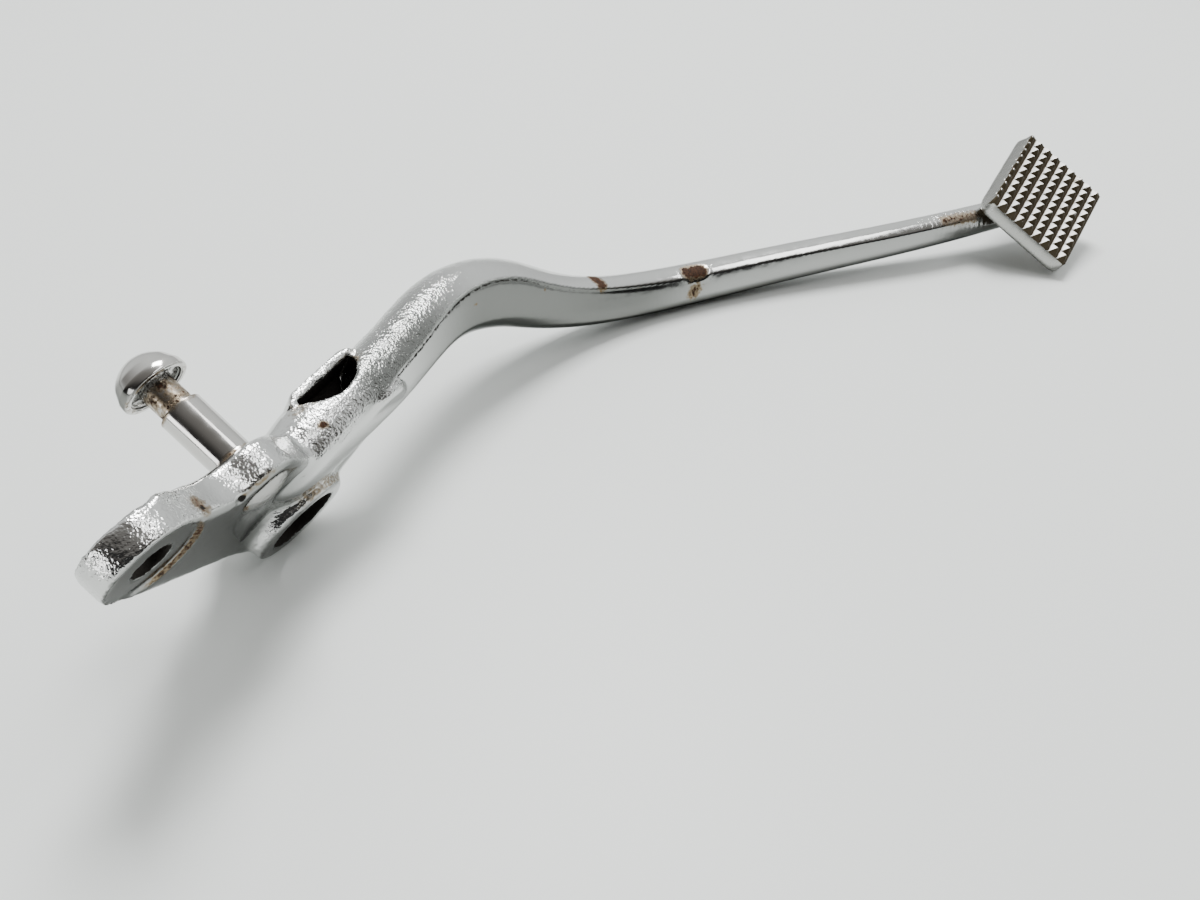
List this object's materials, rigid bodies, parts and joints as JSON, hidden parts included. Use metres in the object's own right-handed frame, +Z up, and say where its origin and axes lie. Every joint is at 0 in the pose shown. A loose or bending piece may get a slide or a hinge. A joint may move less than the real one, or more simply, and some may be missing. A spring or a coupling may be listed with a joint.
{
  "type": "motorbike brake pedal",
  "caption": "Cranked chromed lever with a pivot boss, a flat arm with a rod eye, a mushroom-headed spring stud and a chequered foot pad at the far end; works a rear brake by foot.",
  "frame": {"origin": "middle of the pivot bore", "axes": "lying on a table as it comes to rest: +Z up from the table, +X from the pivot towards the foot pad, +Y to the left of that"},
  "size_m": [0.3156, 0.0785, 0.0527],
  "materials": {
    "lever_chrome": "old chrome over a forged skin, polished on the outboard flank, with rust spots",
    "stud_chrome": "bright chrome, rusty at the neck and the base",
    "pad_chrome": "chrome on the tooth tips and sides, brown dirt in the grooves"
  },
  "bodies": {
    "root": {"pedal_lever": "lever_chrome", "spring_stud": "stud_chrome", "foot_pad": "pad_chrome"}
  },
  "joints": []
}
